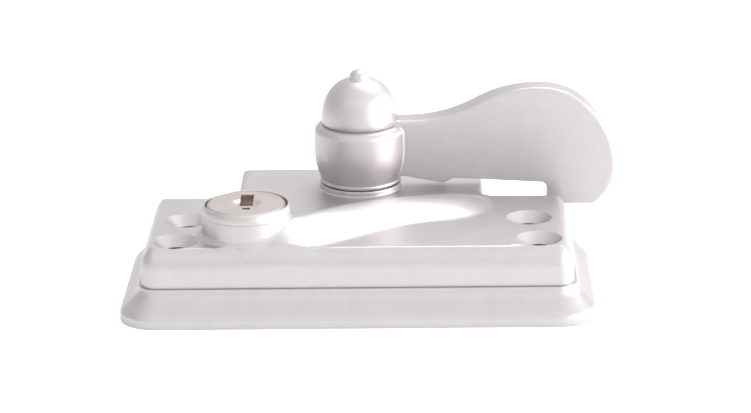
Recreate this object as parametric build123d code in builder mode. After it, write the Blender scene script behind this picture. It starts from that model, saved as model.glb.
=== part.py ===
from build123d import *
import os
from math import acos, asin, atan, atan2, cos, degrees, hypot, radians, sin, sqrt

# Sash pivot lock: a cast case on a moulded riser, a flag lever on a post, and a key cylinder.
# Sizes are in millimetres. The origin is the centre of the riser's underside, with the window's
# meeting rail along X, the room in front (-Y), and Z up.

# Fits, how far cuts pass through, and how deep raised forms are rooted
running_gap = 0.05
press_gap = 0.02
thin_gap = 0.1
overshoot = 1.0
root = 0.25
near = 0.01

# Riser
base_width = 84.0
base_depth = 35.0
base_height = 6.2
base_corner = 6.8
rim_height = 1.8
moulding_width = 3.4
moulding_step = 0.5
base_land = 0.5
base_wall = 4.8
base_roof = 2.0
base_rib = 1.6
pocket_corner = 0.8
pockets_across = 8
pockets_deep = 3

# Case
case_height = 6.9
case_edge = 3.0
back_edge = 0.8
tongue_width = 45.3
tongue_reach = 17.5
tongue_corner = 1.3
inner_corner = 2.5
case_wall = 3.0
case_roof = 1.6
cover_thickness = 0.9
cover_ledge = 1.0

# Fixing screws, a pair at the front and a pair at the rear
front_spacing = 64.0
front_row = -7.75
rear_spacing = 61.3
rear_row = 4.0
screw_hole = 2.25
countersink = 4.1
countersink_angle = 90
screw_column = 4.6

# Cover screws
cover_screw_x = 17.2
cover_screw_y = 29.6
cover_screw_front_x = 10.0
cover_screw_front_y = -6.0
cover_screw_radius = 1.2
cover_screw_head = 2.1
cover_screw_length = 3.6
driver_width = 0.6
driver_depth = 0.4

# Key cylinder
key_x = -19.65
key_y = -3.95
boss_radius = 8.1
boss_height = 5.75
boss_edge = 1.4
boss_foot = 1.4
flange_radius = 7.05
flange_gap = 0.3
flange_thickness = 1.5
flange_bevel = 0.35
plug_radius = 5.0
sleeve_wall = 1.2
keyway_width = 2.35
keyway_length = 8.0
keyway_offset = 0.4
keyway_floor = 0.5
dish_radius = 2.65
dish_depth = 0.6
tenon = 4.0
channel_gap = 0.2

# Wafers
wafer_count = 4
wafer_thickness = 0.6
wafer_pitch = 0.85
wafer_width = 4.8
window_width = 2.5
window_length = 5.6
lug_reach = 1.2
lug_width = 1.4
wafer_roof = 0.3
wafer_retreat = 0.15
window_places = [0.1, 0.3, 0.5, 0.1]
spring_strip = 0.25
spring_bow = 0.45
spring_back = 0.9
spring_room_end = 1.2

# Cam and locking arm
cam_thickness = 1.4
crank_radius = 3.0
crank_pin = 1.4
crank_gap = 0.2
cam_rim = 4.2
cam_nose = 1.0
key_turn = 90.0
arm_thickness = 1.6
arm_width = 5.0
pivot_x = 17.0
pivot_y = 11.0
pivot_radius = 1.8
pivot_head = 3.0
pivot_eye = 3.6
tooth_width = 2.6
tooth_depth = 1.9
tooth_root = 4.2
slot_rim = 1.9
notch_gap = 0.3

# Post and lever
hub_y = 23.7
seat_radius = 7.6
seat_height = 0.85
seat_rim = 0.8
washer_thickness = 0.93
washer_recess = 0.6
spindle_radius = 3.6
spindle_square = 5.0
thread_radius = 2.4
bush_wall = 1.55
disc_radius = 8.0
disc_thickness = 1.8
disc_collar = 5.6
spring_sheet = 0.3
spring_rise = 0.8
stop_radius = 1.1
stop_proud = 0.2
stop_angle = 110.0
lever_turn = 90.0
clip_radius = 4.0
clip_thickness = 0.5
clip_mouth = 2.8
groove_depth = 0.5
hub_foot = 7.2
hub_bead = 0.4
hub_bead_height = 0.8
hub_bead_start = 0.25
hub_waist = 8.05
hub_radius = 8.5
hub_height = 11.1
hub_shoulder = 1.8
cap_radius = 7.1
cap_neck = 6.8
cap_rise = 8.5
nipple_radius = 1.95
nipple_rise = 1.15
cap_spigot = 4.4
cap_spigot_length = 2.6
cap_thread = 8.0
cap_lip = 0.85
spigot_clear = 0.4
blade_thickness = 4.6
blade_edge = 0.8
blade_reach = 47.7
blade_crown_x = 33.8
blade_crown = 18.1
blade_neck = 12.0
blade_gap = 0.4
blade_relief = 0.5
hook_corner = 0.8
hook_start = 34.65
hook_drop = 4.6
hook_end = 43.6

# Heights and places worked out from the sizes above
case_bottom = base_height
case_top = case_bottom + case_height
margin = moulding_width + base_land
case_half = base_width / 2 - margin
case_front = -base_depth / 2 + margin
case_back = base_depth / 2
tongue_back = case_back + tongue_reach
tongue_half = tongue_width / 2
cover_top = case_bottom + cover_thickness
room_top = case_top - case_roof
boss_top = case_top + boss_height
flange_bottom = boss_top - flange_thickness
sleeve_radius = plug_radius + running_gap + sleeve_wall
cam_top = room_top - 2 * thin_gap
cam_bottom = cam_top - cam_thickness
arm_top = cam_bottom - thin_gap
arm_bottom = arm_top - arm_thickness
seat_top = case_top + seat_height
washer_bottom = seat_top - washer_recess
hub_bottom = washer_bottom + washer_thickness + press_gap
hub_top = hub_bottom + hub_height
bush_radius = spindle_radius + running_gap + bush_wall
disc_bottom = arm_bottom - thin_gap
disc_top = disc_bottom + disc_thickness
collar_top = room_top - spring_rise

hub = Vector(0, hub_y)
key = Vector(key_x, key_y)
pivot = Vector(pivot_x, pivot_y)
front_holes = [(-front_spacing / 2, front_row), (front_spacing / 2, front_row)]
rear_holes = [(-rear_spacing / 2, rear_row), (rear_spacing / 2, rear_row)]
cover_holes = [
    (-cover_screw_x, cover_screw_y),
    (cover_screw_x, cover_screw_y),
    (cover_screw_front_x, cover_screw_front_y),
]


def polar(centre, radius, angle):
    """Point at a radius and an angle in degrees from a centre."""
    return Vector(centre.X + radius * cos(radians(angle)), centre.Y + radius * sin(radians(angle)))


# The arm swings about its pivot. Its tooth meets the disc where the pivot's tangent touches it, so
# it moves straight in. The crank pin drives its far end from one side of the mid line to the other.
reach = hypot(hub.X - pivot.X, hub.Y - pivot.Y)
tooth_reach = sqrt(reach**2 - disc_radius**2)
tooth_angle = degrees(atan2(hub.Y - pivot.Y, hub.X - pivot.X) + asin(disc_radius / reach))
crank_reach = hypot(key.X - pivot.X, key.Y - pivot.Y)
crank_angle = degrees(atan2(key.Y - pivot.Y, key.X - pivot.X)) % 360
half_turn = radians(key_turn / 2)
swing = 2 * degrees(atan(crank_radius * sin(half_turn) / (crank_reach - crank_radius * cos(half_turn))))
meet = polar(pivot, tooth_reach, tooth_angle)
notch_angle = degrees(atan2(meet.Y - hub.Y, meet.X - hub.X))
stop_path = disc_radius - stop_radius + stop_proud
crank_start = crank_angle - 180 - key_turn / 2
crank_place = polar(key, crank_radius, crank_start)

# The hump in plan, station by station along X: front foot, crest, crest height and back foot
hump_stations = [
    (key_x + 2.0, -12.6, -6.0, boss_top - 2.6, -0.5),
    (key_x + 8.0, -12.4, -4.2, boss_top - 2.8, 1.5),
    (key_x + 12.0, -10.8, 0.0, boss_top - 3.0, 5.2),
    (key_x + 16.0, -8.1, 3.8, boss_top - 3.2, 8.8),
    (key_x + 21.0, -4.4, 6.8, boss_top - 3.5, 11.8),
    (key_x + 28.0, 0.0, 9.6, boss_top - 3.8, 14.8),
    (pivot_x, 3.1, 11.0, boss_top - 4.2, 17.0),
    (pivot_x + 4.0, 4.4, 10.9, boss_top - 4.5, 16.0),
    (pivot_x + 6.4, 7.4, 10.7, case_top + 0.3, 13.6),
]

os.makedirs("parts", exist_ok=True)


def save(part, name):
    """Label a finished piece and write it."""
    part.label = name
    export_step(part, f"parts/{name}.step")


# Riser: a die-cast plate with an ogee edge on three sides, cut square at the back
with BuildPart() as base_plate:
    with BuildSketch():
        with BuildLine():
            FilletPolyline(
                (-base_width / 2, base_depth / 2),
                (-base_width / 2, -base_depth / 2),
                (base_width / 2, -base_depth / 2),
                (base_width / 2, base_depth / 2),
                radius=base_corner,
            )
            Line((base_width / 2, base_depth / 2), (-base_width / 2, base_depth / 2))
        make_face()
    extrude(amount=base_height)
    with BuildLine() as base_edge:
        FilletPolyline(
            (-base_width / 2, base_depth / 2 + overshoot),
            (-base_width / 2, -base_depth / 2),
            (base_width / 2, -base_depth / 2),
            (base_width / 2, base_depth / 2 + overshoot),
            radius=base_corner,
        )
    moulding_plane = Plane((-base_width / 2, base_depth / 2 + overshoot, 0), (1, 0, 0), (0, -1, 0))
    with BuildSketch(moulding_plane):
        with BuildLine():
            step_height = base_height - moulding_step
            foot = (0.4 * moulding_width, rim_height + 0.15 * moulding_width)
            middle = (0.72 * moulding_width, rim_height + 0.66 * (step_height - rim_height))
            Polyline((-overshoot, rim_height), (0, rim_height), foot)
            cove = TangentArc(foot, middle, tangent=(1, 0.4))
            TangentArc(cove @ 1, (moulding_width, step_height), tangent=cove % 1)
            Polyline(
                (moulding_width, step_height),
                (moulding_width, base_height + overshoot),
                (-overshoot, base_height + overshoot),
                (-overshoot, rim_height),
            )
        make_face()
    sweep(path=base_edge.wires()[0], mode=Mode.SUBTRACT)
    pocket_x = (base_width - 2 * base_wall + base_rib) / pockets_across
    pocket_y = (base_depth - 2 * base_wall + base_rib) / pockets_deep
    with BuildSketch():
        with GridLocations(pocket_x, pocket_y, pockets_across, pockets_deep):
            RectangleRounded(pocket_x - base_rib, pocket_y - base_rib, pocket_corner)
        with Locations(*front_holes, *rear_holes):
            Circle(screw_column, mode=Mode.SUBTRACT)
    extrude(amount=base_height - base_roof, mode=Mode.SUBTRACT)
    with BuildSketch():
        with Locations(*front_holes, *rear_holes):
            Circle(screw_hole)
    extrude(amount=base_height, mode=Mode.SUBTRACT)
save(base_plate.part, "base_plate")


# Case: one casting, hollow below, with the key boss, the hump and the seat ring on its top
def case_outline(inset=0.0):
    """Outline of the case in plan, wings and tongue, drawn inside the true edge by the inset."""
    half, front, back = case_half - inset, case_front + inset, case_back - inset
    tongue, end = tongue_half - inset, tongue_back - inset
    with BuildSketch(mode=Mode.PRIVATE) as outline:
        with Locations((0, (front + back) / 2)):
            Rectangle(2 * half, back - front)
        with Locations((0, (front + end) / 2)):
            Rectangle(2 * tongue, end - front)
        at_back = outline.vertices().filter_by(lambda v: abs(v.Y - back) < near)
        fillet(at_back.filter_by(lambda v: abs(abs(v.X) - tongue) < near), inner_corner)
        ends = outline.vertices().filter_by(lambda v: abs(v.Y - end) < near)
        fillet(ends, tongue_corner)
        fronts = outline.vertices().filter_by(lambda v: abs(v.Y - front) < near)
        fillet(fronts, max(base_corner - margin - inset, pocket_corner))
    return outline.sketch


def hump_section(x, front, crest, crest_height, back):
    """One rounded section across the hump, from its front foot over the crest to its back foot."""
    foot_height = case_top - root
    if front < case_front + case_edge:
        drop = case_front + case_edge - front
        foot_height -= case_edge - sqrt(case_edge**2 - drop**2)
    floor = room_top + root
    with BuildSketch(Plane((x, 0, 0), (0, 1, 0), (1, 0, 0)), mode=Mode.PRIVATE) as section:
        with BuildLine():
            Spline(
                (front, foot_height),
                (crest, crest_height),
                (back, case_top - root),
                tangents=[(1, 0.25), (1, 0), (1, -0.6)],
            )
            Polyline((back, case_top - root), (back, floor), (front, floor), (front, foot_height))
        make_face()
    return section.sketch


with BuildPart() as lock_body:
    with BuildSketch(Plane.XY.offset(case_bottom)):
        add(case_outline())
    extrude(amount=case_height)
    top_edges = lock_body.faces().sort_by(Axis.Z)[-1].edges()
    fillet(top_edges.filter_by(lambda e: e.center().Y < case_back - case_edge), case_edge)
    rear = lock_body.edges().filter_by(Axis.X).filter_by_position(Axis.Z, case_top - near, case_top + near)
    fillet(rear.sort_by(Axis.Y)[-1], back_edge)
    # key boss, rounded at its rim and its foot
    with BuildSketch(Plane((key_x, key_y, 0), (1, 0, 0), (0, -1, 0))):
        with BuildLine():
            Polyline((0, room_top + root), (0, boss_top), (boss_radius - boss_edge, boss_top))
            RadiusArc((boss_radius - boss_edge, boss_top), (boss_radius, boss_top - boss_edge), boss_edge)
            Polyline(
                (boss_radius, boss_top - boss_edge),
                (boss_radius, room_top + root),
                (0, room_top + root),
            )
        make_face()
    revolve(axis=Axis((key_x, key_y, 0), (0, 0, 1)))
    low = lock_body.edges().filter_by_position(Axis.Z, case_top - case_edge, case_top + near)
    foot = low.filter_by(lambda e: abs(hypot((e @ 0).X - key_x, (e @ 0).Y - key_y) - boss_radius) < near)
    fillet(foot, boss_foot)
    # hump over the locking arm, from the boss round to its nose
    for x, front, crest, crest_height, back in hump_stations:
        add(hump_section(x, front, crest, crest_height, back))
    loft()
    # seat ring under the post
    with BuildSketch(Plane.XY.offset(case_top - root)):
        with Locations(hub):
            Circle(seat_radius)
    extrude(amount=seat_height + root, taper=3)
    # room for the mechanism, open below, with the ledge for the cover
    with BuildSketch(Plane.XY.offset(cover_top)):
        add(case_outline(case_wall))
        with Locations(*front_holes, *rear_holes):
            Circle(screw_column, mode=Mode.SUBTRACT)
        with Locations(*cover_holes):
            Circle(cover_screw_radius + case_roof, mode=Mode.SUBTRACT)
    extrude(amount=room_top - cover_top, mode=Mode.SUBTRACT)
    with BuildSketch(Plane.XY.offset(case_bottom)):
        add(case_outline(case_wall - cover_ledge))
    extrude(amount=cover_thickness, mode=Mode.SUBTRACT)
    # column that carries the arm's pivot, and the post that stops the lever's disc
    with BuildSketch(Plane.XY.offset(arm_top + thin_gap)):
        with Locations(pivot):
            Circle(pivot_eye)
    extrude(amount=room_top - arm_top)
    with BuildSketch(Plane.XY.offset(disc_bottom)):
        with Locations(polar(hub, stop_path, stop_angle)):
            Circle(stop_radius)
    extrude(amount=room_top - disc_bottom + root)
    # bores and screw holes
    with BuildSketch(Plane.XY.offset(arm_top)):
        with Locations(pivot):
            Circle(pivot_radius)
    extrude(amount=case_top - arm_top, mode=Mode.SUBTRACT)
    with BuildSketch(Plane.XY.offset(flange_bottom)):
        with Locations(key):
            Circle(flange_radius + flange_gap)
    extrude(amount=flange_thickness + overshoot, mode=Mode.SUBTRACT)
    with BuildSketch(Plane.XY.offset(room_top - thin_gap)):
        with Locations(key):
            Circle(sleeve_radius + press_gap)
    extrude(amount=boss_height + case_roof, mode=Mode.SUBTRACT)
    with BuildSketch(Plane.XY.offset(room_top - thin_gap)):
        with Locations(hub):
            Circle(bush_radius + press_gap)
    extrude(amount=case_roof + seat_height + overshoot, mode=Mode.SUBTRACT)
    with BuildSketch(Plane.XY.offset(washer_bottom)):
        with Locations(hub):
            Circle(seat_radius - seat_rim)
    extrude(amount=seat_height + overshoot, mode=Mode.SUBTRACT)
    with BuildSketch(Plane.XY.offset(cover_top)):
        with Locations(*cover_holes):
            Circle(cover_screw_radius + running_gap)
    extrude(amount=cover_screw_length, mode=Mode.SUBTRACT)
    with Locations(Plane.XY.offset(case_top)):
        with Locations(*front_holes, *rear_holes):
            CounterSinkHole(screw_hole, countersink, case_height + overshoot, countersink_angle)
save(lock_body.part, "lock_body")

# Cover: a pressed sheet in the ledge under the case
with BuildPart() as cover_plate:
    with BuildSketch(Plane.XY.offset(case_bottom)):
        add(case_outline(case_wall - cover_ledge + thin_gap))
        with Locations(*front_holes, *rear_holes):
            Circle(screw_hole, mode=Mode.SUBTRACT)
    extrude(amount=cover_thickness)
    with Locations(Plane.XY.offset(case_bottom)):
        with Locations(*cover_holes):
            Cone(
                cover_screw_head + thin_gap,
                cover_screw_radius + thin_gap,
                cover_thickness,
                align=(Align.CENTER, Align.CENTER, Align.MIN),
                mode=Mode.SUBTRACT,
            )
save(cover_plate.part, "cover_plate")

# Cover screws: countersunk, driven up into the case
with BuildPart() as cover_screws:
    with Locations(Plane.XY.offset(case_bottom)):
        with Locations(*cover_holes):
            Cone(
                cover_screw_head,
                cover_screw_radius,
                cover_thickness,
                align=(Align.CENTER, Align.CENTER, Align.MIN),
            )
            Cylinder(
                cover_screw_radius,
                cover_screw_length,
                align=(Align.CENTER, Align.CENTER, Align.MIN),
            )
            Box(2 * cover_screw_head, driver_width, 2 * driver_depth, mode=Mode.SUBTRACT)
save(cover_screws.part, "cover_screws")

# Key cylinder: the brass sleeve in the boss, with a channel each side for the wafers
with BuildPart() as cylinder_sleeve:
    with BuildSketch(Plane.XY.offset(room_top)):
        with Locations(key):
            Circle(sleeve_radius)
            Circle(plug_radius + running_gap, mode=Mode.SUBTRACT)
            Rectangle(wafer_width + 2 * channel_gap, 2 * plug_radius + sleeve_wall, mode=Mode.SUBTRACT)
    extrude(amount=flange_bottom - room_top - running_gap)
save(cylinder_sleeve.part, "cylinder_sleeve")

# Wafers stand one above the other below the flange, each in a slot across the plug
wafer_top = flange_bottom - wafer_roof
wafer_heights = [wafer_top - wafer_thickness - i * wafer_pitch for i in range(wafer_count)]
lug_start = wafer_width / 2 - thin_gap
spring_room_reach = lug_reach + wafer_roof
spring_room_bottom = wafer_heights[-1] - thin_gap
spring_room_top = wafer_top + thin_gap

# Plug: one turned piece, flange, barrel and square tenon
with BuildPart() as cylinder_plug:
    with BuildSketch(Plane((key_x, key_y, 0), (1, 0, 0), (0, -1, 0))):
        with BuildLine():
            Polyline(
                (0, cam_bottom),
                (plug_radius, cam_bottom),
                (plug_radius, flange_bottom),
                (flange_radius, flange_bottom),
                (flange_radius, boss_top - flange_bevel),
                (flange_radius - flange_bevel, boss_top),
                (dish_radius, boss_top),
                (dish_radius - dish_depth, boss_top - dish_depth),
                (0, boss_top - dish_depth),
                (0, cam_bottom),
            )
        make_face()
    revolve(axis=Axis((key_x, key_y, 0), (0, 0, 1)))
    with BuildSketch(Plane.XY.offset(cam_bottom)):
        with Locations(key):
            Circle(plug_radius + overshoot)
            Rectangle(tenon, tenon, mode=Mode.SUBTRACT)
    extrude(amount=cam_thickness + running_gap, mode=Mode.SUBTRACT)
    with BuildSketch(Plane.XY.offset(room_top + keyway_floor)):
        with Locations(key + Vector(0, keyway_offset)):
            Rectangle(keyway_width, keyway_length)
    extrude(amount=boss_top - room_top, mode=Mode.SUBTRACT)
    for height in wafer_heights:
        with BuildSketch(Plane.XY.offset(height - running_gap)):
            with Locations(key):
                Rectangle(wafer_width + 2 * running_gap, 2 * plug_radius + overshoot)
        extrude(amount=wafer_thickness + 2 * running_gap, mode=Mode.SUBTRACT)
    with BuildSketch(Plane.XY.offset(spring_room_bottom)):
        with Locations(key + Vector(lug_start + spring_room_reach / 2, 0)):
            Rectangle(spring_room_reach + 2 * thin_gap, 2 * (lug_width + spring_room_end))
    extrude(amount=spring_room_top - spring_room_bottom, mode=Mode.SUBTRACT)
save(cylinder_plug.part, "cylinder_plug")

# Wafers: thin brass plates with a window for the key and a lug for the spring
for i, height in enumerate(wafer_heights):
    with BuildPart() as wafer:
        with BuildSketch(Plane.XY.offset(height)):
            with Locations(key):
                Rectangle(wafer_width, 2 * plug_radius)
                Circle(plug_radius - wafer_retreat, mode=Mode.INTERSECT)
            with Locations(key + Vector(lug_start + lug_reach / 2, lug_width)):
                Rectangle(lug_reach, lug_width)
            with Locations(key + Vector(0, window_places[i % len(window_places)])):
                Rectangle(window_width, window_length, mode=Mode.SUBTRACT)
        extrude(amount=wafer_thickness)
    save(wafer.part, f"wafer_{i + 1}")

# Wafer spring: one bronze comb with a bowed finger under each wafer's lug
with BuildPart() as wafer_spring:
    finger_x = lug_start + spring_strip
    comb_back = -lug_width - spring_back
    with BuildSketch(Plane.XY.offset(spring_room_bottom + thin_gap)):
        with Locations(key + Vector(finger_x + lug_reach / 2, comb_back)):
            Rectangle(lug_reach, spring_strip)
    extrude(amount=spring_room_top - spring_room_bottom - 2 * thin_gap)
    for height in wafer_heights:
        start = key + Vector(finger_x, comb_back)
        end = key + Vector(finger_x, lug_width / 2 - spring_strip / 2 - running_gap)
        bow = (start + end) / 2 + Vector(spring_bow, 0)
        with BuildSketch(Plane.XY.offset(height + thin_gap)):
            with BuildLine():
                finger = ThreePointArc(start, bow, end)
                offset(finger, amount=spring_strip / 2, kind=Kind.ARC)
            make_face()
        extrude(amount=wafer_thickness - 2 * thin_gap)
save(wafer_spring.part, "wafer_spring")

# Cam: a steel plate staked on the plug's tenon, with its crank pin pointing down
with BuildPart() as cam:
    with BuildSketch(Plane.XY.offset(cam_bottom)):
        with Locations(key):
            Circle(cam_rim)
        with Locations(crank_place):
            Circle(crank_pin + cam_nose)
        make_hull()
        with Locations(key):
            Rectangle(tenon + 2 * press_gap, tenon + 2 * press_gap, mode=Mode.SUBTRACT)
    extrude(amount=cam_thickness)
    with BuildSketch(Plane.XY.offset(arm_bottom)):
        with Locations(crank_place):
            Circle(crank_pin)
    extrude(amount=cam_bottom - arm_bottom)
save(cam.part, "cam")

# Locking arm: a flat steel arm, pivoted under the nose of the hump, drawn with its tooth drawn back
elbow = polar(pivot, tooth_reach, tooth_angle + swing + degrees(tooth_root / tooth_reach))
tooth_end = polar(pivot, tooth_reach, tooth_angle + swing - degrees(tooth_depth / tooth_reach))
slot_angle = crank_angle + swing / 2
slot_middle = crank_reach - crank_radius * (1 + cos(half_turn)) / 2
slot_travel = crank_radius * (1 - cos(half_turn)) + 2 * crank_gap
slot_place = polar(pivot, slot_middle, slot_angle)
slot_radius = crank_pin + crank_gap
with BuildPart() as locking_arm:
    with BuildSketch(Plane.XY.offset(arm_bottom)):
        with Locations(pivot):
            Circle(pivot_eye)
        with Locations(elbow):
            Circle(arm_width / 2)
        make_hull()
        with BuildSketch(mode=Mode.PRIVATE) as forearm:
            with Locations(elbow):
                Circle(arm_width / 2)
            with Locations(slot_place):
                Circle(slot_radius + slot_rim)
            make_hull()
        add(forearm.sketch)
        tooth_line = tooth_end - elbow
        with Locations(Location((elbow + tooth_end) / 2, degrees(atan2(tooth_line.Y, tooth_line.X)))):
            Rectangle(tooth_line.length, tooth_width)
        with Locations(pivot):
            Circle(pivot_radius + running_gap - press_gap, mode=Mode.SUBTRACT)
        with Locations(Location(slot_place, slot_angle)):
            SlotCenterToCenter(slot_travel, 2 * slot_radius, mode=Mode.SUBTRACT)
    extrude(amount=arm_thickness)
save(locking_arm.part, "locking_arm")

# Arm pivot: a shouldered rivet up into the case
with BuildPart() as arm_pivot_pin:
    with BuildSketch(Plane.XY.offset(arm_bottom - thin_gap)):
        with Locations(pivot):
            Circle(pivot_radius - press_gap)
    extrude(amount=case_top - arm_bottom)
    with BuildSketch(Plane.XY.offset(cover_top + thin_gap)):
        with Locations(pivot):
            Circle(pivot_head)
    extrude(amount=arm_bottom - cover_top - 2 * thin_gap)
save(arm_pivot_pin.part, "arm_pivot_pin")

# Post: the bush in the case, and the washer in the seat ring
with BuildPart() as pivot_bush:
    with BuildSketch(Plane.XY.offset(room_top)):
        with Locations(hub):
            Circle(bush_radius)
            Circle(spindle_radius + running_gap, mode=Mode.SUBTRACT)
    extrude(amount=washer_bottom - room_top)
save(pivot_bush.part, "pivot_bush")

with BuildPart() as thrust_washer:
    with BuildSketch(Plane.XY.offset(washer_bottom)):
        with Locations(hub):
            Circle(seat_radius - seat_rim - thin_gap)
            Circle(spindle_radius + thin_gap, mode=Mode.SUBTRACT)
    extrude(amount=washer_thickness)
save(thrust_washer.part, "thrust_washer")

# Spindle: a turned steel stud, square where the lever and the disc sit, threaded at its top
thread_bottom = hub_top - cap_spigot_length - spigot_clear
thread_top = hub_top + cap_thread - cap_spigot_length - 2 * spigot_clear
spindle_bottom = cover_top + thin_gap
clip_bottom = disc_bottom - thin_gap - clip_thickness
with BuildPart() as spindle:
    with BuildSketch(Plane((hub.X, hub.Y, 0), (1, 0, 0), (0, -1, 0))):
        with BuildLine():
            square_corner = spindle_square / sqrt(2)
            Polyline(
                (0, spindle_bottom),
                (thread_radius, spindle_bottom),
                (thread_radius, clip_bottom - running_gap),
                (thread_radius - groove_depth, clip_bottom - running_gap),
                (thread_radius - groove_depth, disc_bottom - running_gap),
                (square_corner, disc_bottom - running_gap),
                (square_corner, collar_top),
                (spindle_radius, collar_top),
                (spindle_radius, hub_bottom),
                (square_corner, hub_bottom),
                (square_corner, thread_bottom),
                (thread_radius, thread_bottom),
                (thread_radius, thread_top - groove_depth),
                (thread_radius - groove_depth, thread_top),
                (0, thread_top),
                (0, spindle_bottom),
            )
        make_face()
    revolve(axis=Axis((hub.X, hub.Y, 0), (0, 0, 1)))
    for low, high in ((disc_bottom - running_gap, collar_top), (hub_bottom, thread_bottom)):
        with BuildSketch(Plane.XY.offset(low)):
            with Locations(hub):
                Circle(spindle_radius + overshoot)
                Rectangle(spindle_square, spindle_square, mode=Mode.SUBTRACT)
        extrude(amount=high - low, mode=Mode.SUBTRACT)
save(spindle.part, "spindle")

# Locking disc: two notches a quarter turn apart for the arm's tooth, and a cut-out for the stop post
with BuildPart() as locking_disc:
    with BuildSketch(Plane.XY.offset(disc_bottom)):
        with Locations(hub):
            Circle(disc_radius)
        notch_width = tooth_width + 2 * notch_gap
        for angle in (notch_angle, notch_angle - lever_turn):
            with Locations(Location(polar(hub, disc_radius, angle), angle)):
                Rectangle(2 * (tooth_depth + notch_gap), notch_width, mode=Mode.SUBTRACT)
        with BuildLine():
            path_end = stop_angle - lever_turn
            low = CenterArc(hub, stop_path - stop_radius - thin_gap, path_end, lever_turn)
            high = CenterArc(hub, disc_radius + overshoot, path_end, lever_turn)
            Line(low @ 0, high @ 0)
            Line(low @ 1, high @ 1)
        make_face(mode=Mode.SUBTRACT)
        with Locations(polar(hub, stop_path, path_end), polar(hub, stop_path, stop_angle)):
            Circle(stop_radius + thin_gap, mode=Mode.SUBTRACT)
    extrude(amount=disc_thickness)
    with BuildSketch(Plane.XY.offset(disc_top)):
        with Locations(hub):
            Circle(disc_collar)
    extrude(amount=collar_top - disc_top)
    with BuildSketch(Plane.XY.offset(disc_bottom)):
        with Locations(hub):
            Rectangle(spindle_square + 2 * press_gap, spindle_square + 2 * press_gap)
    extrude(amount=collar_top - disc_bottom, mode=Mode.SUBTRACT)
save(locking_disc.part, "locking_disc")

# Spring washer: a dished ring pressed flat between the disc's collar and the case
with BuildPart() as spring_washer:
    with BuildSketch(Plane((hub.X, hub.Y, 0), (1, 0, 0), (0, -1, 0))):
        with BuildLine():
            washer_hole = spindle_radius + thin_gap
            Polyline(
                (washer_hole, room_top - press_gap - spring_sheet),
                (washer_hole, room_top - press_gap),
                (disc_collar, collar_top + press_gap + spring_sheet),
                (disc_collar, collar_top + press_gap),
                close=True,
            )
        make_face()
    revolve(axis=Axis((hub.X, hub.Y, 0), (0, 0, 1)))
save(spring_washer.part, "spring_washer")

# Spindle clip: an open spring-steel ring in the spindle's groove
with BuildPart() as spindle_clip:
    with BuildSketch(Plane.XY.offset(clip_bottom)):
        with Locations(hub):
            Circle(clip_radius)
            Circle(thread_radius - groove_depth + press_gap, mode=Mode.SUBTRACT)
        with Locations(hub - Vector(0, clip_radius)):
            Rectangle(clip_mouth, 2 * clip_radius, mode=Mode.SUBTRACT)
    extrude(amount=clip_thickness)
save(spindle_clip.part, "spindle_clip")

# Lever: hub and flag blade in one casting
with BuildPart() as lever:
    blade_plane = Plane((hub.X, hub.Y, hub_bottom), (1, 0, 0), (0, -1, 0))
    with BuildSketch(blade_plane):
        with BuildLine():
            neck = (1.05 * hub_radius, blade_neck)
            outline = [
                ((neck[0] + blade_crown_x) / 2, 0.48 * blade_neck + 0.52 * blade_crown),
                (blade_crown_x, blade_crown),
                (0.9 * blade_reach, 0.79 * blade_crown),
                (blade_reach, 0.26 * blade_crown),
                (hook_end, blade_gap - hook_drop),
            ]
            curve = Line((0, blade_neck), neck)
            for point in outline:
                curve = TangentArc(curve @ 1, point, tangent=curve % 1)
            Polyline(
                (hook_end, blade_gap - hook_drop),
                (hook_start, blade_gap - hook_drop),
                (hook_start, blade_gap - hook_corner),
                (hook_start - hook_corner, blade_gap),
                (0.37 * blade_reach, blade_gap + 0.6 * blade_relief),
                (0.31 * blade_reach, blade_gap - 0.6 * blade_relief),
                (hub_radius, blade_gap + blade_relief),
                (0, blade_gap + blade_relief),
                (0, blade_neck),
            )
        make_face()
    extrude(amount=blade_thickness / 2, both=True)
    curved = lever.edges().filter_by(GeomType.CIRCLE)
    half = blade_thickness / 2
    fillet(curved.filter_by(lambda e: abs(abs(e.center().Y - hub.Y) - half) < near), blade_edge)
    with BuildSketch(blade_plane):
        with BuildLine():
            bead_low = (hub_foot + hub_bead_start, hub_bead_start)
            bead_high = (hub_foot + hub_bead_start, hub_bead_start + hub_bead_height)
            bead_middle = (hub_foot + hub_bead, hub_bead_start + hub_bead_height / 2)
            Polyline((0, 0), (hub_foot, 0), bead_low)
            ThreePointArc(bead_low, bead_middle, bead_high)
            shoulder = hub_height - hub_shoulder
            ThreePointArc(bead_high, (hub_waist, 0.22 * hub_height), (hub_radius, 0.55 * hub_height))
            Line((hub_radius, 0.55 * hub_height), (hub_radius, shoulder))
            RadiusArc((hub_radius, shoulder), (cap_neck, hub_height), -hub_shoulder)
            Polyline((cap_neck, hub_height), (0, hub_height), (0, 0))
        make_face()
    revolve(axis=Axis((hub.X, hub.Y, 0), (0, 0, 1)))
    with BuildSketch(Plane.XY.offset(hub_bottom)):
        with Locations(hub):
            Rectangle(spindle_square + 2 * press_gap, spindle_square + 2 * press_gap)
    extrude(amount=hub_height, mode=Mode.SUBTRACT)
    with BuildSketch(Plane.XY.offset(hub_top - cap_spigot_length - thin_gap)):
        with Locations(hub):
            Circle(cap_spigot + running_gap)
    extrude(amount=cap_spigot_length + overshoot, mode=Mode.SUBTRACT)
    with BuildSketch(Plane.XY.offset(hub_top)):
        with Locations(hub):
            Circle(cap_radius + thin_gap)
    extrude(amount=blade_crown, mode=Mode.SUBTRACT)
save(lever.part, "lever")

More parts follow.
